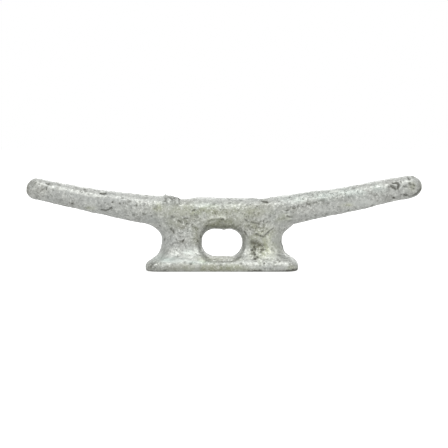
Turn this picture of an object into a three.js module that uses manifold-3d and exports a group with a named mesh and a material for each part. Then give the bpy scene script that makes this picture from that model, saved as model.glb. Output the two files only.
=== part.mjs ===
// A horn cleat for belaying rope on a deck or dock: one iron casting, hot-dip galvanised.
//
// Units are millimetres. +X runs along the horns, +Y across the cleat and +Z up from the deck.
// The origin is the centre of the flat underside, midway between the two bolt holes.
//
// The casting is two closed skins joined: a bar that carries both horns, and a pedestal that is
// the base and both legs. The rope eye and the two bolt holes are cut through them.
import * as THREE from "three";
import { mergeVertices } from "three/addons/utils/BufferGeometryUtils.js";
import Module from "manifold-3d";

// ---- Driving dimensions ------------------------------------------------------------------------

// The base: a plate with rounded corners, whose top runs up into the legs. Its edge stands upright
// up to the height of edge.
const BASE = { halfLength: 38.9, halfWidth: 16, edge: 3.4, bottomRound: 1.3, topRound: 2.6 };

// The legs, seen from the front: narrowest at neckHeight, with a round throat below and above.
const LEGS = {
  neckHeight: 15.5,
  neckHalfLength: 30.95,
  lowerThroat: 12.4,
  upperHeight: 9.5,
  upperFlare: 12.3,
  upperPower: 2.5,
  top: 27.4,
};

// The legs, seen from the side: nearly upright cheeks that bend outwards below sweepTop, and then
// slope down to the base's long edges.
const CHEEKS = { halfDepth: 9, sweepTop: 13, bend: 4, slope: 1.1, swell: 0.5 };

// How round the ends are in plan: at the base, at the neck, and where the legs meet the horns.
const CORNERS = {
  base: { along: 6.5, across: 6.5 },
  neck: { along: 10, across: 8.3 },
  horn: { along: 31, across: 9.4 },
};

// The rope eye: its clear outline in the middle plane, with a flat roof and floor and round ends
// of the length endRound, and the rounding of its mouths. The roof is the round underside of the
// bar, and the floor falls away towards both faces. A mouth's round runs on straight from
// straightFrom of its radius, so that it leaves the metal cleanly.
const EYE = {
  floor: 6.9,
  roof: 21.2,
  halfWidth: 10.5,
  endRound: 6.6,
  power: 2.1,
  sideRound: 3.5,
  roofRise: 5.4,
  roofDepth: 7.4,
  floorFall: 0.0095,
  straightFrom: 0.8,
};

// The bar and horns: [x, half height, height of the middle], from the left tip to the right one.
// The right horn is a little longer, thicker and higher than the left, as a hand-made pattern is.
const SPINE = [
  [-95.1, 5.4, 41.65],
  [-80, 5.65, 38.25],
  [-66, 5.95, 35.45],
  [-52, 6.7, 33.15],
  [-40, 7.5, 31.2],
  [-24, 7.9, 29.6],
  [0, 8.15, 28.85],
  [24, 7.9, 29.6],
  [42, 7.5, 32.1],
  [54, 6.85, 34.4],
  [67, 6.55, 36.65],
  [79, 6.2, 39.2],
  [96.9, 5.8, 42.75],
];
const BAR_POWER = 2.4;

// The bar is a little wider than it is high, and more so in the middle, round the bolt holes.
const WIDTH = { horn: 1.1, middle: 1.2, middleReach: 24, hornStart: 50 };

// Two bolt holes run straight down through the legs.
const BOLT = { spacing: 43.2, holeRadius: 4.4, mouthRadius: 4.9, mouthDepth: 1.4, crest: 37.4 };

// How far the cutters run on past the metal.
const PAST = 2;

// How finely the skins are divided.
const BAR_SIDES = 36;
const BAR_STEPS = 44;
const CAP_STEPS = 6;
const CAP_TURN = (0.96 * Math.PI) / 2;
const CORNER_STEPS = 9;
const SIDE_STEPS = 8;
const EDGE_STEPS = 3;
const LOWER_STEPS = 16;
const UPPER_STEPS = 9;
const EYE_SIDES = 44;
const EYE_STEPS = 20;
const HOLE_SIDES = 28;

const ZINC = new THREE.MeshStandardMaterial({
  name: "galvanised_iron",
  color: new THREE.Color(0.66, 0.67, 0.65),
  roughness: 0.5,
  metalness: 0.8,
});

// ---- Skins -------------------------------------------------------------------------------------

// A closed skin over rings of Vector3, all with the same number of points, capped flat at each end.
function skin(rings) {
  const sides = rings[0].length;
  const points = rings.flat();
  const faces = [];
  for (let r = 0; r + 1 < rings.length; r++) {
    for (let i = 0; i < sides; i++) {
      const a = r * sides + i;
      const b = r * sides + ((i + 1) % sides);
      faces.push(a, b, b + sides, a, b + sides, a + sides);
    }
  }
  for (const [ring, outward] of [[0, false], [rings.length - 1, true]]) {
    const middle = rings[ring].reduce((sum, p) => sum.add(p), new THREE.Vector3());
    points.push(middle.divideScalar(sides));
    for (let i = 0; i < sides; i++) {
      const a = ring * sides + i;
      const b = ring * sides + ((i + 1) % sides);
      faces.push(...(outward ? [a, b] : [b, a]), points.length - 1);
    }
  }
  return new THREE.BufferGeometry().setFromPoints(points).setIndex(faces);
}

// cos or sin of an angle, raised so that a circle drawn with it becomes a superellipse.
const raised = (value, power) => Math.sign(value) * Math.abs(value) ** (2 / power);

// The smaller of two lengths, with the corner between them rounded over a width.
function roundedMin(a, b, width) {
  const near = Math.max(width - Math.abs(a - b), 0) / width;
  return Math.min(a, b) - (near * near * width) / 4;
}

// How far a round fillet of this radius has swept sideways, a distance away from its start.
function sweptOut(distance, radius) {
  const d = THREE.MathUtils.clamp(distance, 0, radius);
  return radius - Math.sqrt(radius * radius - d * d);
}

// The same for the eye's mouth: most of the fillet, then straight on at the slope it has there.
function cutOut(distance, radius) {
  const round = EYE.straightFrom * radius;
  const slope = EYE.straightFrom / Math.sqrt(1 - EYE.straightFrom ** 2);
  return sweptOut(Math.min(distance, round), radius) + slope * Math.max(distance - round, 0);
}

// Places on the way from one number to another, crowded towards the first if power is over 1.
function placesBetween(from, to, steps, power) {
  const places = [];
  for (let i = 1; i <= steps; i++) {
    places.push(from + (to - from) * (i / steps) ** power);
  }
  return places;
}

// ---- The bar and its two horns -----------------------------------------------------------------

// One section, square to the spine: an upright superellipse round middle.
function barRing(middle, tangent, halfHeight) {
  const up = new THREE.Vector3(-tangent.z, 0, tangent.x);
  const horn = THREE.MathUtils.smoothstep(Math.abs(middle.x), WIDTH.middleReach, WIDTH.hornStart);
  const halfWidth = halfHeight * THREE.MathUtils.lerp(WIDTH.middle, WIDTH.horn, horn);
  const ring = [];
  for (let i = 0; i < BAR_SIDES; i++) {
    const angle = (2 * Math.PI * i) / BAR_SIDES;
    const y = halfWidth * raised(Math.cos(angle), BAR_POWER);
    const rise = halfHeight * raised(Math.sin(angle), BAR_POWER);
    ring.push(middle.clone().addScaledVector(up, rise).add(new THREE.Vector3(0, y, 0)));
  }
  return ring;
}

// A round end: sections that run on past the spine's end and shrink to nearly nothing.
function roundEnd(middle, tangent, halfHeight, direction) {
  const rings = [];
  for (let i = 1; i <= CAP_STEPS; i++) {
    const angle = (CAP_TURN * i) / CAP_STEPS;
    const along = direction * halfHeight * Math.sin(angle);
    const centre = middle.clone().addScaledVector(tangent, along);
    rings.push(barRing(centre, tangent, halfHeight * Math.cos(angle)));
  }
  return rings;
}

function bar() {
  // The curve's y holds the half height, so that both run smoothly through the same points.
  const points = SPINE.map(([x, halfHeight, z]) => new THREE.Vector3(x, halfHeight, z));
  const curve = new THREE.CatmullRomCurve3(points, false, "centripetal");
  const stations = [];
  for (let i = 0; i <= BAR_STEPS; i++) {
    const point = curve.getPointAt(i / BAR_STEPS);
    const slope = curve.getTangentAt(i / BAR_STEPS);
    const middle = new THREE.Vector3(point.x, 0, point.z);
    const tangent = new THREE.Vector3(slope.x, 0, slope.z).normalize();
    stations.push([middle, tangent, point.y]);
  }
  const left = roundEnd(...stations[0], -1).reverse();
  const right = roundEnd(...stations[BAR_STEPS], 1);
  return skin([...left, ...stations.map((s) => barRing(...s)), ...right]);
}

// ---- The pedestal: base and legs ---------------------------------------------------------------

// Half the length at a height, from the base's rounded edge up through both throats.
function halfLengthAt(z) {
  const rise = z - LEGS.neckHeight;
  const above = THREE.MathUtils.clamp(rise / LEGS.upperHeight, 0, 1);
  const upper = LEGS.upperFlare * above ** LEGS.upperPower;
  const flare = sweptOut(-rise, LEGS.lowerThroat) + upper;
  const full = roundedMin(BASE.halfLength, LEGS.neckHalfLength + flare, BASE.topRound);
  return full - sweptOut(BASE.bottomRound - z, BASE.bottomRound);
}

// Half the depth at a height, from the base's rounded edge up to the cheeks.
function halfDepthAt(z) {
  const drop = Math.max(CHEEKS.sweepTop - z, 0);
  const flare = CHEEKS.slope * (Math.hypot(drop, CHEEKS.bend) - CHEEKS.bend);
  const swell = CHEEKS.swell * THREE.MathUtils.smoothstep(z, CHEEKS.sweepTop, LEGS.top);
  const cheek = CHEEKS.halfDepth + flare + swell;
  const full = roundedMin(BASE.halfWidth, cheek, BASE.topRound);
  return full - sweptOut(BASE.bottomRound - z, BASE.bottomRound);
}

// One of the corner's two lengths at a height, easing from base to neck and from neck to horn.
function cornerAt(z, way) {
  const { base, neck, horn } = CORNERS;
  const toNeck = THREE.MathUtils.smoothstep(z, BASE.topRound, LEGS.neckHeight);
  const toHorn = THREE.MathUtils.smoothstep(z, LEGS.neckHeight, LEGS.top);
  const lower = THREE.MathUtils.lerp(base[way], neck[way], toNeck);
  return lower + (horn[way] - neck[way]) * toHorn;
}

// A plan section: straight sides between four rounded corners.
function pedestalRing(z) {
  const along = cornerAt(z, "along");
  const across = cornerAt(z, "across");
  const flatX = halfLengthAt(z) - along;
  const flatY = halfDepthAt(z) - across;
  const ring = [];
  for (let corner = 0; corner < 4; corner++) {
    const sideX = corner === 0 || corner === 3 ? 1 : -1;
    const sideY = corner < 2 ? 1 : -1;
    for (let i = 0; i <= CORNER_STEPS; i++) {
      const angle = (Math.PI / 2) * (corner + i / CORNER_STEPS);
      const x = sideX * flatX + along * Math.cos(angle);
      ring.push(new THREE.Vector3(x, sideY * flatY + across * Math.sin(angle), z));
    }
    const longSideNext = corner === 0 || corner === 2;
    for (let i = 1; longSideNext && i < SIDE_STEPS; i++) {
      const x = sideX * flatX * (1 - (2 * i) / SIDE_STEPS);
      ring.push(new THREE.Vector3(x, sideY * (flatY + across), z));
    }
  }
  return ring;
}

function pedestal() {
  const throatTop = LEGS.neckHeight + LEGS.upperHeight;
  const heights = [
    0,
    ...placesBetween(0, BASE.bottomRound, EDGE_STEPS, 2),
    BASE.edge,
    ...placesBetween(BASE.edge, LEGS.neckHeight, LOWER_STEPS, 1.6),
    ...placesBetween(LEGS.neckHeight, throatTop, UPPER_STEPS, 0.8),
    LEGS.top,
  ];
  return skin(heights.map(pedestalRing));
}

// ---- What is cut away --------------------------------------------------------------------------

// One section of the eye, square to Y: a slot that has grown by each side's own rounding.
function eyeRing(y) {
  const out = Math.abs(y);
  const { sideRound, roofDepth } = EYE;
  const roofSweep = sweptOut(out - (CHEEKS.halfDepth - roofDepth), roofDepth);
  const roof = EYE.roof + (EYE.roofRise / roofDepth) * roofSweep;
  const floor = EYE.floor - EYE.floorFall * y ** 2;
  const ring = [];
  for (let i = 0; i < EYE_SIDES; i++) {
    const angle = (2 * Math.PI * (i + 0.5)) / EYE_SIDES;
    const side = Math.sign(Math.cos(angle));
    const z = (roof + floor) / 2 + ((roof - floor) / 2) * raised(Math.sin(angle), EYE.power);
    const mouth = cutOut(out - (halfDepthAt(z) - sideRound), sideRound);
    const flat = EYE.halfWidth + mouth - EYE.endRound;
    const x = side * flat + EYE.endRound * raised(Math.cos(angle), EYE.power);
    ring.push(new THREE.Vector3(x, y, z));
  }
  return ring;
}

// The eye: a rounded slot through the middle, with its mouths rounded into both faces.
function eye() {
  const reach = BASE.halfWidth + PAST;
  const outward = placesBetween(0, reach, EYE_STEPS, 0.9);
  const inward = outward.map((y) => -y).reverse();
  const places = [...inward, 0, ...outward].reverse();
  return skin(places.map(eyeRing));
}

// A bolt hole from under the base to above the bar, with a small countersunk mouth.
function boltHole(x) {
  const { holeRadius, mouthRadius, mouthDepth, crest } = BOLT;
  const profile = [
    [0, -PAST],
    [holeRadius, -PAST],
    [holeRadius, crest - mouthDepth - (mouthRadius - holeRadius)],
    [mouthRadius, crest - mouthDepth],
    [mouthRadius, crest + PAST],
    [0, crest + PAST],
  ].map(([radius, z]) => new THREE.Vector2(radius, z));
  return new THREE.LatheGeometry(profile, HOLE_SIDES).rotateX(Math.PI / 2).translate(x, 0, 0);
}

// ---- Joining and cutting -----------------------------------------------------------------------

const wasm = await Module();
wasm.setup();

function solid(geometry) {
  const bare = geometry.clone();
  bare.deleteAttribute("normal");
  bare.deleteAttribute("uv");
  const merged = mergeVertices(bare, 1e-4);
  const made = new wasm.Manifold(
    new wasm.Mesh({
      numProp: 3,
      vertProperties: merged.attributes.position.array,
      triVerts: new Uint32Array(merged.index.array),
    }),
  );
  if (made.volume() < 0) {
    throw new Error("a skin faces inwards");
  }
  return made;
}

function geometryOf(made) {
  const mesh = made.getMesh();
  const geometry = new THREE.BufferGeometry();
  geometry.setAttribute("position", new THREE.BufferAttribute(mesh.vertProperties, 3));
  geometry.setIndex(new THREE.BufferAttribute(mesh.triVerts, 1));
  geometry.computeVertexNormals();
  return geometry;
}

function casting() {
  let made = solid(bar()).add(solid(pedestal()));
  made = made.subtract(solid(eye()));
  for (const side of [-1, 1]) {
    made = made.subtract(solid(boltHole((side * BOLT.spacing) / 2)));
  }
  const mesh = new THREE.Mesh(geometryOf(made), ZINC);
  mesh.name = "cleat_casting";
  return mesh;
}

const cleat = new THREE.Group();
cleat.name = "horn_cleat";
cleat.add(casting());

export default cleat;
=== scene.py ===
"""The look of the horn cleat: one rough galvanised casting, on a pale floor in soft light.

Lengths in this file are in metres, in the frame of the CAD model: +X along the horns, +Y away
from the camera, +Z up from the deck. MM turns millimetres into metres. The tables of marks are in
millimetres.
"""

import math

import bmesh
import bpy
import numpy as np
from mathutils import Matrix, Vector


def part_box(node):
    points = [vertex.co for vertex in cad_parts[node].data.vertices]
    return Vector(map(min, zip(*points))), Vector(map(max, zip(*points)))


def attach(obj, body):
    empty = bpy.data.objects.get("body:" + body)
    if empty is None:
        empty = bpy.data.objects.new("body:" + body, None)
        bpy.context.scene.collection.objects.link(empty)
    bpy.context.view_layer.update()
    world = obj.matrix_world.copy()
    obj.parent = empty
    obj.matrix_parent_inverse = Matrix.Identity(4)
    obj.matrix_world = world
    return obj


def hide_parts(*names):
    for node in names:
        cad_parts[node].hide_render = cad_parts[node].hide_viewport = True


MM = 0.001

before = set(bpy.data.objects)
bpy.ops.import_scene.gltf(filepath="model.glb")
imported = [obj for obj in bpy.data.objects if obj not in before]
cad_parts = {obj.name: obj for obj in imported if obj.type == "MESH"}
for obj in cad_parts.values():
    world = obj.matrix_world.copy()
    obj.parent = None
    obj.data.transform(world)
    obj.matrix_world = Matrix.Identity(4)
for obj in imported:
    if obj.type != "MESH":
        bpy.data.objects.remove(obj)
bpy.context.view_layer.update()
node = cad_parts["cleat_casting"]
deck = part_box("cleat_casting")[0].z

# The size of the faces of the even mesh.
VOXEL = 0.5 * MM

# The bolt holes' distance from the middle, and the radius of their mouths.
BOLT_X = 21.6 * MM
MOUTH_RADIUS = 4.9 * MM

# The underside was ground flat up to the first height, and the skin is as cast from the second.
GROUND_FLAT = 0.4 * MM
AS_CAST = 2 * MM

# Rounds of smoothing: above the deck everywhere, and then in the creases.
FILLET_ROUNDS = 18
CREASE_ROUNDS = 90

# Random round pits all over, and bigger ones that stand for the unseen gouges at the back.
PIT_COUNT = 420
PIT_RADIUS = 0.7 * MM
BACK_PIT_COUNT = 70
BACK_PIT_RADIUS = 0.8 * MM

# How far the marks stand out from the skin, or sink into it, where they are strongest.
PIT_DEPTH = 0.25 * MM
GOUGE_DEPTH = 0.45 * MM
WORN_LEG_DEPTH = 0.4 * MM
WORN_TOP_DEPTH = 0.5 * MM
RIGHT_THROAT_DEPTH = 0.9 * MM
LEFT_THROAT_DEPTH = 0.6 * MM
VEE_HEIGHT = 0.35 * MM
DROP_HEIGHT = 0.45 * MM
PARTING_HEIGHT = 0.25 * MM
DROSS_HEIGHT = 0.85 * MM
THICKER_END = 0.8 * MM

# Dark gouges and blow holes on the side towards the camera, and painted shade along the right
# throat's outline and the base's lower edge: corners of their line in (x, z) millimetres, half
# width in millimetres, and how dark they are.
GOUGES_AND_SHADE_LINES = [
    # Left horn.
    ([(-93.3, 44.2)], 0.35, 0.6),
    ([(-89.6, 44.6), (-88.4, 44.4)], 0.4, 0.8),
    ([(-92, 41.2), (-90.3, 42.2), (-89.4, 41.6)], 0.35, 0.6),
    ([(-71.6, 39.7)], 0.4, 0.5),
    ([(-62, 39.6), (-59.6, 39.4)], 0.45, 1.0),
    ([(-61.8, 31.1), (-59.4, 30.8)], 0.4, 0.8),
    ([(-59.4, 30.8), (-56.6, 31.7)], 0.35, 0.8),
    ([(-57.1, 31.9), (-56.4, 32.2)], 0.5, 0.9),
    ([(-56, 34.9)], 0.55, 0.9),
    ([(-52.3, 34.9), (-51.9, 34.2)], 0.4, 0.9),
    ([(-50.2, 34.5)], 0.45, 0.9),
    ([(-76.7, 34.3)], 0.5, 0.9),
    ([(-41.7, 29.5)], 0.5, 0.7),
    ([(-84.6, 36.6), (-80, 35.4)], 0.3, 0.35),
    # Left leg.
    ([(-26, 21.3)], 0.6, 0.7),
    ([(-24.8, 20.4), (-24.4, 19)], 0.5, 0.8),
    ([(-23.2, 16)], 0.35, 0.7),
    ([(-24.1, 14.4), (-22.2, 14)], 0.35, 0.6),
    ([(-20.1, 15), (-19.2, 16.2)], 0.45, 0.8),
    ([(-23.1, 10.7)], 0.4, 0.8),
    ([(-19.1, 26.8), (-17.6, 26.7)], 0.35, 0.7),
    ([(-22.3, 25.7), (-20.2, 24.4)], 0.4, 0.7),
    ([(-18.2, 24.1), (-17.6, 24.1)], 0.3, 0.9),
    ([(-15.1, 23.6)], 0.35, 0.9),
    ([(-13.6, 25.5)], 0.45, 0.6),
    ([(-12.1, 27.5)], 0.5, 0.7),
    ([(-14.9, 30.6), (-14.2, 30.9)], 0.55, 0.7),
    ([(-22.6, 20), (-20.4, 18.9)], 0.3, 0.5),
    ([(-22.8, 18.4), (-20.8, 16.9)], 0.3, 0.5),
    ([(-26.3, 17.6), (-26.2, 15.8)], 0.3, 0.5),
    ([(-12.2, 15.2)], 0.5, 0.5),
    ([(-12, 13), (-11, 9.5)], 0.35, 0.35),
    # Right leg.
    ([(11.8, 26.4), (12.8, 25.7)], 0.45, 0.9),
    ([(13.4, 25.2), (17.6, 24.4)], 0.35, 0.6),
    ([(13.2, 23), (14.4, 21.6), (16.4, 20.2)], 0.5, 0.4),
    ([(17.2, 19), (19.4, 18.2), (21.3, 17.3)], 0.4, 0.8),
    ([(11.4, 19.9), (12.2, 18.7)], 0.4, 0.7),
    ([(12.8, 18), (13.6, 16.8), (14.2, 16.2)], 0.35, 0.6),
    ([(21.8, 18), (24, 20.1), (26.2, 21.7)], 0.34, 0.65),
    ([(19.5, 25.3)], 0.4, 0.7),
    ([(21.4, 25.8), (21.3, 22.3)], 0.3, 0.6),
    ([(22.9, 24.8)], 0.35, 0.6),
    ([(17.9, 22.9), (17.2, 21.4)], 0.35, 0.5),
    ([(19.4, 20.1), (21.4, 20.6)], 0.25, 0.5),
    ([(15.4, 10.8)], 0.5, 1.0),
    ([(17, 11.4)], 0.5, 1.0),
    ([(15.7, 9.1)], 0.35, 0.8),
    ([(15.2, 14.5), (17.8, 14.5)], 1.1, 0.55),
    ([(17.4, 13.3), (20.8, 12.9)], 1, 0.5),
    ([(16.6, 12.4), (16.9, 11)], 0.6, 0.8),
    ([(16.6, 9.6), (16.9, 8.7)], 0.5, 1.0),
    ([(16.5, 6.6), (17.2, 6.6)], 0.4, 1.0),
    ([(17.8, 7.7), (18.3, 7.2)], 0.35, 1.0),
    ([(20.2, 11), (21.3, 10.8)], 0.45, 0.8),
    ([(23.2, 9.1)], 0.45, 0.5),
    ([(25.4, 11)], 0.45, 0.5),
    ([(21.3, 4.2)], 0.4, 0.7),
    ([(22, 1.5)], 0.4, 0.7),
    ([(24.6, 1.5)], 0.5, 0.5),
    ([(28.6, 6.2), (29.2, 5.6)], 0.4, 0.5),
    # The zinc dross beside the left bolt hole.
    ([(-27.9, 38), (-25.6, 38)], 0.4, 0.7),
    ([(-27.4, 37.6), (-27, 36.6)], 0.35, 0.6),
    ([(-26.2, 36.5), (-25.2, 36)], 0.35, 0.8),
    ([(-24.4, 37.5), (-24.4, 36.5)], 0.4, 0.9),
    ([(-22.8, 37.3), (-22, 36)], 0.5, 0.9),
    ([(-28, 34.6)], 0.4, 0.6),
    ([(-24, 33.9)], 0.4, 0.6),
    # Beside the right bolt hole, and the root of the right horn.
    ([(20.4, 35.5), (23.2, 35.2)], 0.45, 1.0),
    ([(32.6, 30.7), (34, 31.1)], 0.35, 0.8),
    ([(36.2, 32), (37.6, 32.2)], 0.35, 0.8),
    ([(38.4, 32.7), (39.4, 33)], 0.3, 0.8),
    ([(43.3, 33.8), (44.7, 34)], 0.3, 0.7),
    ([(47, 34.7), (48.2, 34.9)], 0.3, 0.7),
    ([(49, 35.5), (49.6, 35.6)], 0.3, 0.6),
    ([(34.6, 37.6)], 0.35, 0.7),
    ([(33.2, 27.8), (35.8, 27.2)], 0.35, 0.6),
    # Right horn.
    ([(64.9, 30.5)], 0.4, 0.9),
    ([(86.4, 43.9), (86.9, 42.6), (88.6, 41.8)], 0.5, 1.0),
    ([(87.4, 44.9), (89.4, 45), (90.3, 43.8), (89.9, 41.8)], 0.6, 1.0),
    ([(86.9, 43.8), (88.8, 42.8)], 0.4, 0.7),
    ([(91.4, 45.7), (91.9, 44.6)], 0.35, 0.7),
    ([(95.3, 47.4), (96, 46.7)], 0.45, 0.9),
    ([(96, 44.6), (96.4, 43.8)], 0.5, 0.9),
    ([(97.6, 44), (98.4, 43.6)], 0.5, 0.9),
    ([(96.6, 42.7)], 0.5, 0.8),
    ([(97.9, 41.9)], 0.45, 0.8),
    ([(92.7, 42.9), (94.4, 42.8)], 0.4, 0.6),
    ([(85.2, 42.9), (85.8, 42.5)], 0.35, 0.6),
    ([(84.2, 40.1)], 0.35, 0.5),
    ([(87.8, 37)], 0.5, 1.0),
    ([(93.3, 38.4), (94.9, 38.4)], 0.4, 1.0),
    ([(97.8, 38), (100.2, 39.3), (101.6, 41.4)], 0.45, 0.8),
    # The base's ends.
    ([(-36.2, 2.9)], 0.5, 0.8),
    ([(-35.6, 4), (-35.2, 3.6)], 0.4, 0.7),
    ([(-27.6, 1.2)], 0.4, 0.6),
    # Painted shade along the outline of the right throat, where the surface turns away.
    ([(30.4, 15), (31.2, 11.6), (33.2, 8.6), (35.6, 6.7), (38.4, 5.4)], 0.35, 0.7),
    # Painted shade and contact shadow along the base's lower edge, where it meets the floor.
    ([(-38, 0.5), (-34, 0.2), (-27, 0.2)], 0.4, 0.8),
    ([(-27, 0.2), (13.6, 0.2)], 0.35, 0.4),
    ([(13.6, 0.3), (20, 0.3)], 0.6, 1.0),
    ([(20, 0.2), (33, 0.2)], 0.45, 0.7),
    ([(33, 0.3), (37.8, 0.9)], 0.6, 1.0),
]

# Patches on the same side: (x, z) of the middle and half sizes in millimetres, and how strong.
# Olive tarnish in the zinc:
TARNISH = [
    ((-10, 30.5), (24, 3.4), 0.9),
    ((-32.6, 32), (4.2, 2.4), 0.9),
    ((12, 30), (16, 3), 0.7),
    ((0, 24.5), (11, 3), 1.0),
    ((-13.5, 20), (3, 5), 0.8),
    ((21, 14), (8, 9), 1.0),
    ((15, 23), (4, 3), 0.9),
    ((-22, 25), (8, 4), 0.5),
    ((-2, 2), (18, 2), 1.0),
    ((-1, 6.2), (10, 1.2), 0.8),
    ((9, 27), (6, 2.4), 0.7),
    ((-12, 26.4), (5, 2), 0.6),
    ((-10, 6), (2.4, 1.6), 0.8),
    ((-67, 32), (2.4, 1.2), 0.9),
    ((64.2, 33.4), (2.6, 1.2), 0.9),
    ((97.4, 42.6), (1.8, 2.4), 0.9),
    ((30, 27), (5, 3), 0.6),
    ((36, 2), (3, 1.4), 0.7),
]

# Dark dirt, and painted shade:
DIRT_AND_SHADE = [
    # Dirt, and painted shade, under the eye's roof.
    ((0, 22.8), (10, 1.4), 0.4),
    ((0, 25.4), (8, 1.2), 0.3),
    # Near the left horn's tip, and on the right leg.
    ((-93, 40.6), (5, 2.6), 0.3),
    ((-96, 44.6), (3, 1.6), 0.3),
    ((17, 14.3), (2.6, 1.2), 1.0),
    ((19.6, 13.2), (2.2, 1.2), 1.0),
    ((17.6, 12.2), (2.2, 1.2), 0.9),
    ((20.6, 11.2), (1.4, 0.8), 0.7),
    ((14.6, 22.4), (1.6, 1.6), 0.4),
    # Painted shade down the sides of the eye's mouth.
    ((-12.6, 17), (1.4, 4), 0.5),
    ((11.6, 17), (1.2, 5), 0.3),
    # Darker at the left end of the base.
    ((-36.6, 2.4), (2.4, 2.4), 0.45),
    # Painted shade on the ends of the horns.
    ((-100.4, 41.4), (1.9, 4), 1.0),
    ((102.2, 42), (1.4, 4), 0.8),
    # Painted shade on the base's front face, with some dirt in its middle.
    ((-3, 1.6), (15, 1.5), 0.6),
    ((-24, 1.6), (10, 1.4), 0.5),
    ((0, 2.4), (40, 2.2), 0.15),
    ((2, 1), (36, 1.2), 0.3),
    # Painted shade on the eye's floor.
    ((0, 6.7), (10, 1.1), 0.5),
    # Painted shade on the base's top edge, which dulls its highlight.
    ((-33, 4), (6, 1), 0.4),
    ((-20, 4), (8, 0.9), 0.2),
    # On the right leg.
    ((16, 9), (2, 3), 0.5),
    # Darker along the right horn, just under its highlight.
    ((36, 31.8), (4, 1.1), 0.35),
    ((46, 34.6), (5, 1.1), 0.35),
    ((58, 36.8), (6, 1.1), 0.3),
    # On the left leg.
    ((-20.5, 22.3), (2.6, 1.2), 0.5),
    ((-19, 25.6), (3.5, 1), 0.4),
    ((-20.5, 15), (2.2, 0.8), 0.5),
    ((-25, 20.5), (1.4, 1.6), 0.4),
    # Painted shade down the left side of the eye's mouth, and a dark spot of dirt below it.
    ((-13, 21), (1.8, 3.6), 0.45),
    ((-12.8, 15), (1.2, 1.2), 0.6),
    # Painted shade that dulls the highlight under the right bolt hole.
    ((22, 33.6), (6, 1.8), 0.4),
]

# Bright, fresh zinc, and painted highlights where the lamp's reflection falls:
PALE = [
    # Painted highlight on the left leg's lower sweep and the base's edge below it.
    ((-18, 9.2), (5, 2.4), 0.6),
    ((-24, 9.4), (3, 1.6), 0.3),
    ((-13.2, 11), (0.8, 3), 0.5),
    ((-30, 7), (4, 2.2), 0.4),
    ((-19, 5.6), (7, 0.9), 0.4),
    # Fresh zinc and painted highlight on the right leg.
    ((26.5, 9.4), (3.2, 2), 1.0),
    ((13.8, 6.6), (1.6, 1.2), 1.0),
    ((23.6, 16), (1.4, 3), 0.7),
    # Painted highlight along the base's top edge and the right leg's sweep.
    ((31.4, 4.3), (3.6, 0.8), 0.7),
    ((14, 4.1), (4, 0.9), 0.6),
    ((22, 7.6), (3, 0.9), 0.7),
    # Pale spots on the right leg, at the roots of the horns and on the dross.
    ((19.6, 19), (1.2, 0.7), 1.0),
    ((24.6, 22), (2, 1.4), 0.6),
    ((33.4, 28.8), (1.6, 0.5), 0.9),
    ((34.4, 26.4), (1.4, 0.5), 0.9),
    ((-31, 27.9), (2, 0.4), 0.7),
    ((-25.2, 37.3), (0.5, 0.5), 0.7),
    ((-23.7, 36.4), (0.5, 0.4), 0.7),
    ((-26.4, 35.4), (0.7, 0.5), 0.4),
    # The right tip: a painted highlight at its top, and pale spots in its marks.
    ((96, 45.6), (2.2, 0.9), 1.0),
    ((92.5, 44), (0.4, 2), 0.7),
    ((88.4, 43.8), (0.6, 0.4), 1.0),
    ((94.4, 40.8), (1.8, 1.3), 0.5),
    ((84, 42.8), (2.4, 1.2), 0.6),
    ((88.4, 38.6), (0.9, 0.5), 0.8),
    # Painted highlight along the right horn, broken into patches, and lighter patches below it.
    ((44, 36.4), (12, 1.5), 0.45),
    ((66, 40.2), (14, 1.5), 0.5),
    ((44, 29.6), (6, 1.5), 0.3),
    ((54, 31.4), (6, 1.5), 0.6),
    ((64, 33.2), (6, 1.5), 0.7),
    ((74, 35), (6, 1.5), 0.7),
    # Painted highlight along the left horn, as a broken chain of beads.
    ((-88.4, 42.4), (0.8, 0.5), 1.0),
    ((-86.2, 42.5), (0.7, 0.5), 1.0),
    ((-82.6, 42), (1.2, 0.7), 1.0),
    ((-74, 40), (1.8, 0.8), 0.6),
    ((-64, 38.2), (2.4, 0.7), 0.6),
    ((-94, 44), (2, 1), 0.5),
]

# Ridges of the skin on the same side: corners of their line, half width and height in millimetres,
# and how strong the painted highlight along them is.
RIDGES = [
    # A fold over the eye's roof.
    ([(-13.2, 23.8), (-11.1, 25.2), (-8.6, 26), (-6, 26.8)], 0.7, 0.5, 0.8),
    ([(-6, 26.8), (-4, 27.4), (0.6, 27.3), (1.8, 26.7)], 0.8, 0.7, 1.0),
    # A V on the right leg.
    ([(11.6, 25), (16.6, 19.8), (21.4, 18.2), (26.8, 23.1)], 0.7, 0.3, 0.3),
    # An arc on the right tip.
    ([(92.2, 45), (91.7, 43), (89.5, 40.6)], 0.35, 0.3, 1.0),
    # Hooks on the left horn, and a step on the right one.
    ([(-43.4, 35), (-42, 34.3), (-42.6, 33.2)], 0.35, 0.25, 0.8),
    ([(-42, 31), (-40.8, 30.4), (-41.2, 29.4)], 0.35, 0.25, 0.8),
    ([(76.4, 37.8), (76.9, 35.8), (76.2, 33.6)], 0.3, 0.2, 0.5),
]

# The lower edge of the raised skin between the arms of that V: corners in (x, z) millimetres.
VEE_EDGE = [(11.6, 25), (16.6, 19.6), (21.4, 18), (26.8, 22.9)]

# More patches, in the same form as TARNISH. Fresh zinc with a cold, greenish shine:
COLD = [
    ((-27, 6.4), (8, 2), 1.0),
    ((-12, 4.8), (8, 1), 0.9),
    ((-18, 9.5), (6, 2), 0.4),
    ((-6, 33.6), (10, 1.6), 0.5),
    ((38, 36.4), (8, 2.2), 0.6),
    ((52, 38), (8, 2.2), 0.8),
    ((66, 40), (8, 2.2), 0.8),
    ((79, 42), (6, 2.2), 0.6),
]

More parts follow.
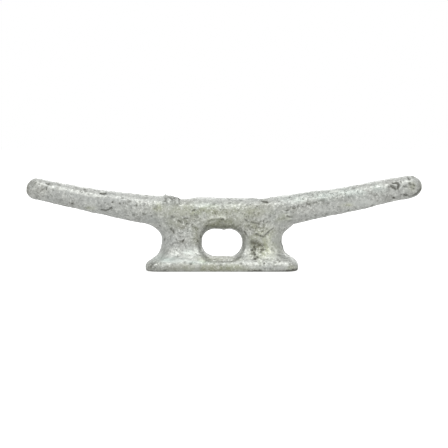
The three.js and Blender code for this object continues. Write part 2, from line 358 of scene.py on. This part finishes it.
# Rough, pitted skin:
ROUGH = [
    ((-21, 20), (7, 7), 1.0),
    ((19, 22), (7, 4), 1.0),
    ((-92, 41), (5, 3), 0.7),
    ((-44, 31.5), (6, 4), 0.6),
    ((40, 33), (12, 2), 0.8),
    ((62, 38.6), (22, 2.6), 1.0),
    ((20, 9), (6, 4), 0.8),
    ((-34, 3.4), (5, 2.4), 1.0),
    ((0, 30), (20, 3), 0.4),
]

# Smooth, duller skin:
SMOOTH = [
    ((-31, 16), (2.6, 8), 1.0),
    ((-23, 5.4), (10, 1.6), 1.0),
    ((28.4, 16), (2.4, 6), 1.0),
    ((12.4, 15), (1.6, 5), 0.8),
    ((72, 35), (8, 1.2), 1.0),
    ((-35, 25.5), (5, 1.6), 0.7),
    ((35, 25), (5, 1.6), 0.7),
    ((0, 7.2), (9, 1.6), 0.8),
    ((-58, 36.5), (10, 1.4), 0.4),
    ((-18, 1.4), (14, 1.3), 0.8),
    ((6, 1.4), (14, 1.3), 0.6),
    ((30, 2), (6, 1.6), 0.5),
]


# ---- Numbers that vary smoothly over space ------------------------------------------------------


def lattice_noise(points, size, seed):
    """Smooth random values from -1 to 1, which change over a distance of about size."""
    start = points.min(axis=0) - size
    grid = (points - start) / size
    shape = np.ceil(grid.max(axis=0)).astype(int) + 2
    values = np.random.default_rng(seed).uniform(-1, 1, shape)
    cell = np.floor(grid).astype(int)
    part = grid - cell
    part = part * part * (3 - 2 * part)
    total = np.zeros(len(points))
    for corner in np.ndindex(2, 2, 2):
        weight = np.prod(np.where(corner, part, 1 - part), axis=1)
        i, j, k = (cell + corner).T
        total += weight * values[i, j, k]
    return total


def layered_noise(points, size, layers, seed):
    """Noise with finer and weaker noise on top, from -1 to 1."""
    next_layer = 0.55
    likely_peak = 1.4
    total = np.zeros(len(points))
    strength = 1.0
    for layer in range(layers):
        total += strength * lattice_noise(points, size / 2**layer, seed + layer)
        strength *= next_layer
    return np.clip(total / likely_peak, -1, 1)


def ramp(values, start, end):
    """0 at start, 1 at end, and smooth between them. It falls if end is less than start."""
    t = np.clip((values - start) / (end - start), 0, 1)
    return t * t * (3 - 2 * t)


def bump(values, middle, width):
    """1 where a value is at the middle, falling away to nothing over about twice the width."""
    return np.exp(-(((values - middle) / width) ** 2))


def spot(points, x, z, half_x, half_z):
    """1 at a place seen from the front, falling to nothing over about twice its half sizes. The
    place and the half sizes are in millimetres."""
    return bump(points[:, 0], x * MM, half_x * MM) * bump(points[:, 2], z * MM, half_z * MM)


def patches(points, places, ragged=0.65):
    """How strongly each point is inside a list of patches, from 0 to 1, with ragged outlines."""
    inside = np.zeros(len(points))
    for (x, z), (half_x, half_z), strength in places:
        inside = np.maximum(inside, strength * spot(points, x, z, half_x, half_z))
    gaps = ramp(layered_noise(points, 4 * MM, layers=3, seed=71), 0.1, -0.8)
    return inside * (1 - ragged * gaps)


def distance_to(points, path):
    """How far each point is, seen from the front, from a path of corners in (x, z) millimetres."""
    best = np.full(len(points), np.inf)
    flat = points[:, [0, 2]]
    corners = np.array(path) * MM
    # The last piece runs from the last corner to itself, so that a path may be a single corner.
    for a, b in zip(corners, np.vstack([corners[1:], corners[-1:]])):
        length_squared = max((b - a) @ (b - a), 1e-12)
        along = np.clip((flat - a) @ (b - a) / length_squared, 0, 1)
        best = np.minimum(best, np.linalg.norm(flat - a - along[:, None] * (b - a), axis=1))
    return best


# ---- The casting's mesh -------------------------------------------------------------------------


def remeshed(source, voxel):
    """A new object with an even mesh of small faces over the CAD casting."""
    mesh = source.data.copy()
    work = bmesh.new()
    work.from_mesh(mesh)
    bmesh.ops.remove_doubles(work, verts=work.verts, dist=0.002 * MM)
    work.to_mesh(mesh)
    work.free()
    even = bpy.data.objects.new("galvanised_casting", mesh)
    bpy.context.scene.collection.objects.link(even)
    modifier = even.modifiers.new("even", "REMESH")
    modifier.mode = "VOXEL"
    modifier.voxel_size = voxel
    graph = bpy.context.evaluated_depsgraph_get()
    even.data = bpy.data.meshes.new_from_object(even.evaluated_get(graph))
    even.modifiers.clear()
    return even


def edges_of(mesh):
    """The two vertices of each edge, as an array of two columns."""
    edges = np.empty(len(mesh.edges) * 2, np.int32)
    mesh.edges.foreach_get("vertices", edges)
    return edges.reshape(-1, 2)


def points_of(mesh):
    """The place of each vertex, as an array of three columns."""
    points = np.empty(len(mesh.vertices) * 3)
    mesh.vertices.foreach_get("co", points)
    return points.reshape(-1, 3)


def normals_of(mesh):
    """The outward direction at each vertex, as an array of three columns."""
    normals = np.empty(len(mesh.vertices) * 3)
    mesh.vertex_normals.foreach_get("vector", normals)
    return normals.reshape(-1, 3)


def set_points(mesh, points):
    """Moves the vertices to the given places."""
    mesh.vertices.foreach_set("co", points.ravel())
    mesh.update()


def write_mask(mesh, name, values):
    """Stores a number from 0 to 1 at each vertex, for the material to read by its name."""
    attribute = mesh.attributes.new(name, "FLOAT", "POINT")
    attribute.data.foreach_set("value", np.clip(values, 0, 1).astype(np.float32))


def neighbour_mean(values, edges, counts):
    """The mean over each vertex's neighbours of values that each vertex holds."""
    total = np.zeros_like(values)
    for column in range(values.shape[1]):
        for a, b in ((0, 1), (1, 0)):
            total[:, column] += np.bincount(
                edges[:, a], values[edges[:, b], column], len(values)
            )
    return total / counts[:, None]


def smoothed(points, edges, rounds, share, steps=(0.6, -0.56)):
    """Points moved towards their neighbours, each by its own share. The second of the usual steps
    undoes most of the first one's shrinking."""
    counts = np.bincount(edges.ravel(), minlength=len(points))
    for _ in range(rounds):
        for step in steps:
            pull = neighbour_mean(points, edges, counts) - points
            points = points + step * share[:, None] * pull
    return points


# ---- The relief of the cast skin ----------------------------------------------------------------


class Skin:
    """The casting's smooth surface: its vertices, and which way each one is turned.

    front is turned to the camera's side, facing isn't turned away from it, behind is turned away
    from it, and edge_on is neither. They and left and right go from 0 to 1, and up from -1 to 1.
    """

    def __init__(self, points, normals):
        self.points = points
        self.normals = normals
        self.x, self.y, self.z = points.T
        to_right, to_back, self.up = normals.T
        self.right = ramp(to_right, 0.1, 0.5)
        self.left = ramp(-to_right, 0.1, 0.5)
        self.front = ramp(-to_back, 0.05, 0.5)
        self.facing = ramp(-to_back, -0.4, -0.1)
        self.behind = ramp(to_back, -0.1, 0.4)
        self.edge_on = 1 - ramp(abs(to_back), 0.2, 0.5)


def filleted(points, edges, above_deck):
    """The points with their creases rounded: a little everywhere above the deck, and more under
    the roots of the horns and along the top of the base's long edges."""
    points = smoothed(points, edges, FILLET_ROUNDS, above_deck)
    outward, across, up = abs(points[:, 0]), abs(points[:, 1]), points[:, 2]
    crease = ramp(outward, 54 * MM, 44 * MM) * bump(up, 25.5 * MM, 4.5 * MM)
    rim = bump(up, 4.4 * MM, 1.6 * MM) * ramp(across, 12.5 * MM, 15 * MM)
    share = np.maximum(crease, 0.2 * rim)
    return smoothed(points, edges, CREASE_ROUNDS, share, steps=(0.6,))


def roughness(skin):
    """How rough the skin is: about 0.5, less on the smooth patches and more on the rough ones."""
    marked = patches(skin.points, ROUGH) - patches(skin.points, SMOOTH)
    unseen = layered_noise(skin.points, 12 * MM, layers=2, seed=131)
    return 0.5 + 0.5 * marked * skin.front + 0.5 * unseen * skin.behind


def sand_grain(skin, rough):
    """The height of the sand's grain, at three sizes. The finest is high only on rough skin."""
    swell = layered_noise(skin.points, 11 * MM, layers=2, seed=11)
    lumps = layered_noise(skin.points, 3.2 * MM, layers=2, seed=23)
    grit = layered_noise(skin.points, 1.6 * MM, layers=2, seed=37)
    return (0.2 * swell + 0.17 * lumps + 0.26 * rough * grit) * MM


def pits(points, count, radius, seed):
    """Round pits at random places: how deep each vertex is in one, from 0 to 1."""
    random = np.random.default_rng(seed)
    sink = np.zeros(len(points))
    for _ in range(count):
        centre = points[random.integers(len(points))]
        size = radius * random.uniform(0.5, 1.4)
        offset = np.linalg.norm(points - centre, axis=1) / size
        sink = np.maximum(sink, random.uniform(0.4, 1) * np.exp(-(offset**4)))
    return sink


def gouges_and_shade_lines(skin):
    """How far each vertex is in a gouge, and in the painted shade lines along the right throat and
    the base's lower edge, from 0 to 1, with random pits for those at the back.
    """
    inside = np.zeros(len(skin.points))
    ragged = 0.6 * lattice_noise(skin.points, 1.1 * MM, seed=83)
    for path, half_width, strength in GOUGES_AND_SHADE_LINES:
        reach = distance_to(skin.points, path) / (half_width * MM) + ragged
        inside = np.maximum(inside, strength * ramp(reach, 1.5, 0.5))
    unseen = pits(skin.points, BACK_PIT_COUNT, BACK_PIT_RADIUS, seed=151)
    return np.maximum(inside * skin.facing, unseen * skin.behind)


def ridges(skin):
    """How high the ridges stand above the skin at each vertex, and how strong the painted highlight
    along them is there.
    """
    height = np.zeros(len(skin.points))
    bright = np.zeros(len(skin.points))
    broken = ramp(lattice_noise(skin.points, 3 * MM, seed=61), -1, 0)
    for path, half_width, crest, shine in RIDGES:
        on_ridge = bump(distance_to(skin.points, path), 0, half_width * MM) * broken * skin.front
        height = np.maximum(height, crest * MM * on_ridge)
        bright = np.maximum(bright, shine * on_ridge)
    return height, bright


def step_in_vee(skin):
    """The skin between the arms of the V on the right leg stands higher than the leg below."""
    x, z = skin.x / MM, skin.z / MM
    edge_x, edge_z = zip(*VEE_EDGE)
    inside = ramp(z - np.interp(x, edge_x, edge_z), 0, 1) * ramp(z, 29, 25.5)
    return VEE_HEIGHT * inside * ramp(x, 12, 15) * ramp(x, 28.5, 26) * skin.front


def drop_under_roof(skin):
    """A drop of zinc hangs from the eye's roof."""
    place = bump(skin.x, 1.2 * MM, 1.1 * MM) * bump(skin.y, 0, 3 * MM)
    place *= bump(skin.z, 21.4 * MM, 2 * MM)
    return DROP_HEIGHT * place * ramp(-skin.up, 0.5, 0.9)


def parting_line(skin):
    """A low broken ridge along the middle plane, where the two halves of the mould met."""
    wander = 0.3 * MM * lattice_noise(skin.points, 12 * MM, seed=41)
    broken = ramp(lattice_noise(skin.points, 7 * MM, seed=43), -0.5, 0.4)
    return PARTING_HEIGHT * bump(skin.y, wander, 0.6 * MM) * broken * skin.edge_on


def dross_place(skin):
    """How far each vertex is in the frozen dross on top, at the left bolt hole's outer side."""
    along = ramp(skin.x, -30.3 * MM, -29.4 * MM) * ramp(skin.x, -21.7 * MM, -22.5 * MM)
    return along * ramp(skin.up, 0.1, 0.55) * ramp(skin.z, 32.6 * MM, 34.8 * MM)


def worn_places(skin):
    """How deep the skin is worn: high on the left leg, and on top, inward of its bolt hole."""
    leg = spot(skin.points, -19.3, 25, 2.8, 2.1) * skin.front
    top = bump(skin.x, -17.5 * MM, 3.5 * MM) * ramp(skin.up, 0.3, 0.8) * (skin.z > 30 * MM)
    return WORN_LEG_DEPTH * leg + WORN_TOP_DEPTH * top


def deeper_throats(skin):
    """The right throat is cut a little deeper at its top, and the left one at its foot."""
    right = spot(skin.points, 36, 24.5, 2.6, 2.4) * skin.right
    left = spot(skin.points, -33.4, 9, 2.6, 2.2) * skin.left
    return RIGHT_THROAT_DEPTH * right + LEFT_THROAT_DEPTH * left


def cast_share(skin):
    """1 where the skin is as cast, and less in the bolt holes, which were drilled or reamed."""
    from_axis = np.hypot(abs(skin.x) - BOLT_X, skin.y)
    return 0.25 + 0.75 * ramp(from_axis, MOUTH_RADIUS - 0.3 * MM, MOUTH_RADIUS + 0.3 * MM)


def thicker_end(skin):
    """How much higher the right end of the base is than the left."""
    return THICKER_END * ramp(skin.x, 31 * MM, 36 * MM) * bump(skin.z, 6 * MM, 3 * MM)


# ---- The stains on the cast skin ----------------------------------------------------------------


def dirt_and_shade_on(skin, points):
    """How dark each vertex is made, by grime and painted shade in the listed patches in front, and
    by random grime at the back.
    """
    seen = patches(points, DIRT_AND_SHADE, ragged=0.3) * skin.facing
    unseen = ramp(layered_noise(points, 7 * MM, layers=3, seed=127), 0.3, 0.8) * skin.behind
    return np.maximum(seen, 0.7 * unseen)


def tarnish_on(skin, points):
    """How olive each vertex is, with the marked patches in front and random ones at the back."""
    seen = patches(points, TARNISH) * skin.facing
    unseen = ramp(layered_noise(points, 16 * MM, layers=3, seed=113), -0.1, 0.4) * skin.behind
    return np.maximum(seen, unseen)


def build_surface(casting):
    """Gives the even mesh its cast fillets, lumps and pits, and the masks that the look uses."""
    mesh = casting.data
    points = points_of(mesh)
    above_deck = ramp(points[:, 2], GROUND_FLAT, AS_CAST)
    points = filleted(points, edges_of(mesh), above_deck)
    set_points(mesh, points)
    skin = Skin(points, normals_of(mesh))

    rough = roughness(skin)
    dark_mark = pits(points, PIT_COUNT, PIT_RADIUS, seed=5)
    gouge_and_shade_line = gouges_and_shade_lines(skin)
    ridge, bright = ridges(skin)
    dross = dross_place(skin)
    crust = 0.85 + 0.6 * layered_noise(points, 1.7 * MM, layers=2, seed=53)

    height = sand_grain(skin, rough) + ridge
    height -= PIT_DEPTH * dark_mark + GOUGE_DEPTH * gouge_and_shade_line
    height += step_in_vee(skin) + drop_under_roof(skin) + parting_line(skin)
    height += DROSS_HEIGHT * dross * crust
    height -= worn_places(skin)
    height *= cast_share(skin) * above_deck
    height -= deeper_throats(skin)
    points = points + skin.normals * height[:, None]
    points[:, 2] += thicker_end(skin) * above_deck
    set_points(mesh, points)

    holes = dross * ramp(layered_noise(points, 1.6 * MM, layers=2, seed=97), 0, -0.45)
    # Dark marks: pits, gouges and dross holes, and painted shade along the right throat and the
    # base's lower edge.
    write_mask(mesh, "dark_mark", np.maximum.reduce([0.7 * dark_mark, gouge_and_shade_line, 0.6 * holes]))
    write_mask(mesh, "dirt_and_shade", dirt_and_shade_on(skin, points))
    write_mask(mesh, "tarnish", tarnish_on(skin, points))
    # Fresh zinc and painted highlights: the listed patches, and along the ridges.
    write_mask(mesh, "pale", np.maximum(patches(points, PALE) * skin.facing, bright))
    write_mask(mesh, "cold", patches(points, COLD) * skin.facing)
    write_mask(mesh, "rough", rough)


# ---- Materials ----------------------------------------------------------------------------------

WARM_ZINC = (0.42, 0.425, 0.4, 1)
COOL_ZINC = (0.435, 0.45, 0.43, 1)
SMOOTH_ZINC = (0.4, 0.415, 0.4, 1)
PALE_ZINC = (0.6, 0.61, 0.57, 1)
BRIGHT_ZINC_AND_HIGHLIGHT = (0.78, 0.8, 0.75, 1)
DULL_ZINC = (0.3, 0.305, 0.28, 1)
DARK_ZINC = (0.13, 0.13, 0.11, 1)
OLIVE = (0.93, 0.95, 0.72, 1)
COLD_SHINE = (0.92, 1, 0.99, 1)
GRIME_AND_SHADE = (0.1, 0.095, 0.05, 1)
SOOT_AND_SHADE = (0.05, 0.05, 0.035, 1)
PALE_GREY = (0.9, 0.9, 0.9, 1)
WHITE = (1, 1, 1, 1)


class Nodes:
    """Makes and joins the nodes of one tree."""

    def __init__(self, tree):
        self.tree = tree
        self.shader = tree.nodes.get("Principled BSDF")

    def add(self, kind, inputs=None, **settings):
        """A new node, with some of its inputs and settings given."""
        made = self.tree.nodes.new(kind)
        for key, value in settings.items():
            setattr(made, key, value)
        for key, value in (inputs or {}).items():
            self.put(value, made.inputs[key])
        return made

    def put(self, value, socket):
        """Links another node's output to a socket, or sets the socket to a number or a colour."""
        if isinstance(value, bpy.types.NodeSocket):
            self.tree.links.new(value, socket)
        else:
            socket.default_value = value

    def from_place(self, kind):
        """Coordinates of one kind, such as Object or Generated."""
        return self.add("ShaderNodeTexCoord").outputs[kind]

    def noise(self, size, detail=3.0, roughness=0.55, distortion=0.0):
        """Noise whose blobs are about size across, from 0 to 1."""
        inputs = {
            "Vector": self.from_place("Object"),
            "Scale": 1 / size,
            "Detail": detail,
            "Roughness": roughness,
            "Distortion": distortion,
        }
        return self.add("ShaderNodeTexNoise", inputs).outputs["Fac"]

    def mask(self, name):
        """A number from 0 to 1 that write_mask has stored in the mesh."""
        return self.add("ShaderNodeAttribute", attribute_name=name).outputs["Fac"]

    def math(self, operation, a, b=0):
        return self.add("ShaderNodeMath", {0: a, 1: b}, operation=operation).outputs[0]

    def times(self, a, b):
        return self.math("MULTIPLY", a, b)

    def between(self, value, start, end, low=0.0, high=1.0):
        """Low where the value is at start, high where it is at end."""
        inputs = {"Value": value, "From Min": start, "From Max": end, "To Min": low, "To Max": high}
        return self.add("ShaderNodeMapRange", inputs).outputs["Result"]

    def mix(self, share, a, b, blend="MIX"):
        """Colour a where the share is 0, and colour b, or a blended with b, where it is 1."""
        made = self.add("ShaderNodeMix", data_type="RGBA", blend_type=blend)
        self.put(share, made.inputs[0])
        self.put(a, made.inputs[6])
        self.put(b, made.inputs[7])
        return made.outputs[2]


def clean_zinc(n, mottle, rough):
    """Grey zinc, warmer and cooler by turns, mottled, and even where the skin is smooth."""
    broad = n.noise(16 * MM, detail=2)
    colour = n.mix(n.between(broad, 0.35, 0.65), WARM_ZINC, COOL_ZINC)
    colour = n.mix(n.between(mottle, 0.5, 0.7, high=0.5), colour, PALE_ZINC)
    colour = n.mix(n.between(mottle, 0.46, 0.3, high=0.5), colour, DULL_ZINC)
    return n.mix(n.between(rough, 0.45, 0, high=0.7), colour, SMOOTH_ZINC)


def stained(n, colour, mottle):
    """The colour with its patches of fresh zinc and painted highlight, tarnish, cold shine, and
    grime and painted shade.
    """
    # Fresh zinc, and the painted highlights.
    colour = n.mix(n.times(n.mask("pale"), 0.7), colour, BRIGHT_ZINC_AND_HIGHLIGHT)
    olive = n.times(n.mask("tarnish"), n.between(mottle, 0.4, 0.6, low=1, high=0.5))
    colour = n.mix(olive, colour, OLIVE, "MULTIPLY")
    colour = n.mix(n.mask("cold"), colour, COLD_SHINE, "MULTIPLY")
    # Grime, and painted shade on the eye, the horns' ends and the base.
    return n.mix(n.times(n.mask("dirt_and_shade"), 0.8), colour, GRIME_AND_SHADE)


def speckled(n, colour, grain, rough):
    """The colour with dark and bright grains and painted glints, stronger on rough skin, and dark
    marks: pits, gouges and painted shade lines.
    """
    glints = n.noise(0.8 * MM, detail=1)
    specks = n.noise(0.9 * MM, detail=2, roughness=0.5, distortion=0.6)
    contrast = n.between(rough, 0, 1, low=0.1, high=0.9)
    colour = n.mix(n.times(n.between(grain, 0.45, 0.33), contrast), colour, DARK_ZINC)
    colour = n.mix(n.times(n.between(grain, 0.54, 0.67), contrast), colour, BRIGHT_ZINC_AND_HIGHLIGHT)
    # Painted glints: bright specks that stand in for the sparkle of the rough zinc in the lamp's
    # light.
    colour = n.mix(n.times(n.between(glints, 0.6, 0.7), contrast), colour, BRIGHT_ZINC_AND_HIGHLIGHT)
    colour = n.mix(n.times(n.between(specks, 0.37, 0.29), contrast), colour, SOOT_AND_SHADE)
    # Soot-dark pits and gouges, and the painted shade lines.
    return n.mix(n.times(n.mask("dark_mark"), 0.85), colour, SOOT_AND_SHADE)


def galvanised():
    """Rough cast iron under a dulled coat of zinc."""
    material = bpy.data.materials.new("galvanised_iron")
    material.use_nodes = True
    n = Nodes(material.node_tree)
    mottle = n.noise(3.6 * MM, roughness=0.6)
    grain = n.noise(1.3 * MM, roughness=0.7)
    fine = n.noise(0.5 * MM, detail=2, roughness=0.6)
    rough = n.mask("rough")

    colour = stained(n, clean_zinc(n, mottle, rough), mottle)
    n.put(speckled(n, colour, grain, rough), n.shader.inputs["Base Color"])

    matt = n.between(rough, 0.4, 1, low=0.36, high=0.52)
    uneven = n.between(grain, 0.3, 0.7, low=0.12, high=-0.06)
    n.put(n.math("ADD", matt, uneven), n.shader.inputs["Roughness"])
    n.put(n.between(mottle, 0.4, 0.7, low=0.65, high=0.35), n.shader.inputs["Metallic"])

    height = n.math("ADD", n.times(grain, 0.7), n.times(fine, 0.3))
    relief = n.add("ShaderNodeBump", {"Height": height, "Strength": 0.45, "Distance": 0.5 * MM})
    n.put(relief.outputs["Normal"], n.shader.inputs["Normal"])
    return material


def floor_material():
    """Matt and nearly white, and a little bright of itself, so that the floor stays plain."""
    material = bpy.data.materials.new("pale_floor")
    material.use_nodes = True
    n = Nodes(material.node_tree)
    n.put(PALE_GREY, n.shader.inputs["Base Color"])
    n.put(0.9, n.shader.inputs["Roughness"])
    n.put(0, n.shader.inputs["Specular IOR Level"])
    n.put(WHITE, n.shader.inputs["Emission Color"])
    n.put(0.5, n.shader.inputs["Emission Strength"])
    return material


# ---- The stage ----------------------------------------------------------------------------------


def add_floor():
    """A wide round floor just under the cleat, which throws no light back on it."""
    gap = 0.05 * MM
    work = bmesh.new()
    bmesh.ops.create_circle(work, cap_ends=True, segments=64, radius=6)
    mesh = bpy.data.meshes.new("floor")
    work.to_mesh(mesh)
    work.free()
    floor = bpy.data.objects.new("floor", mesh)
    floor.data.materials.append(floor_material())
    floor.location.z = deck - gap
    floor.visible_diffuse = False
    floor.visible_glossy = False
    bpy.context.scene.collection.objects.link(floor)


def add_softbox(name, size, power, place):
    """A rectangular light, turned to the middle of the cleat."""
    middle = Vector((0, 0, 30 * MM))
    light = bpy.data.lights.new(name, "AREA")
    light.shape = "RECTANGLE"
    light.size, light.size_y = size
    light.energy = power
    lamp = bpy.data.objects.new(name, light)
    lamp.location = place
    lamp.rotation_euler = (middle - Vector(place)).to_track_quat("-Z", "Y").to_euler()
    bpy.context.scene.collection.objects.link(lamp)


def add_world():
    """Light from all round, weaker from both ends and from below. The camera sees plain white."""
    from_sides = 1.03
    less_at_ends = 0.25
    less_below = 0.15
    world = bpy.data.worlds.new("studio")
    world.use_nodes = True
    n = Nodes(world.node_tree)
    split = n.add("ShaderNodeSeparateXYZ", {0: n.from_place("Generated")})
    ends = n.math("POWER", n.math("ABSOLUTE", split.outputs["X"]), 3)
    below = n.between(split.outputs["Z"], 0, -1)
    strength = n.math("SUBTRACT", from_sides, n.times(ends, less_at_ends))
    strength = n.math("SUBTRACT", strength, n.times(below, less_below))
    lit = n.add("ShaderNodeBackground", {"Color": WHITE, "Strength": strength})
    seen = n.add("ShaderNodeBackground", {"Color": WHITE, "Strength": 1})
    by_camera = n.add("ShaderNodeLightPath").outputs["Is Camera Ray"]
    both = n.add("ShaderNodeMixShader", {0: by_camera, 1: lit.outputs[0], 2: seen.outputs[0]})
    n.put(both.outputs[0], n.tree.nodes["World Output"].inputs["Surface"])
    bpy.context.scene.world = world


def add_camera():
    """A long lens square to the cleat's side, a few degrees above the deck."""
    distance = 0.9
    elevation = math.radians(3)
    aim = Vector((1.1 * MM, 0, 23.5 * MM))
    camera = bpy.data.objects.new("camera", bpy.data.cameras.new("camera"))
    camera.data.sensor_width = 36
    camera.data.lens = 140.5
    camera.data.clip_start = 0.01
    camera.location = aim + distance * Vector((0, -math.cos(elevation), math.sin(elevation)))
    camera.rotation_euler = (math.radians(90) - elevation, 0, 0)
    bpy.context.scene.collection.objects.link(camera)
    bpy.context.scene.camera = camera


casting = remeshed(node, VOXEL)
build_surface(casting)
casting.data.materials.clear()
casting.data.materials.append(galvanised())
casting.data.shade_smooth()
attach(casting, "root")
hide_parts("cleat_casting")

add_floor()
add_world()
add_softbox("softbox", size=(0.9, 0.12), power=2.6, place=(0, -0.45, 0.9))
add_softbox("back_softbox", size=(0.9, 0.2), power=1.2, place=(0.2, 0.9, 0.45))
add_camera()
bpy.context.scene.view_settings.view_transform = "Standard"
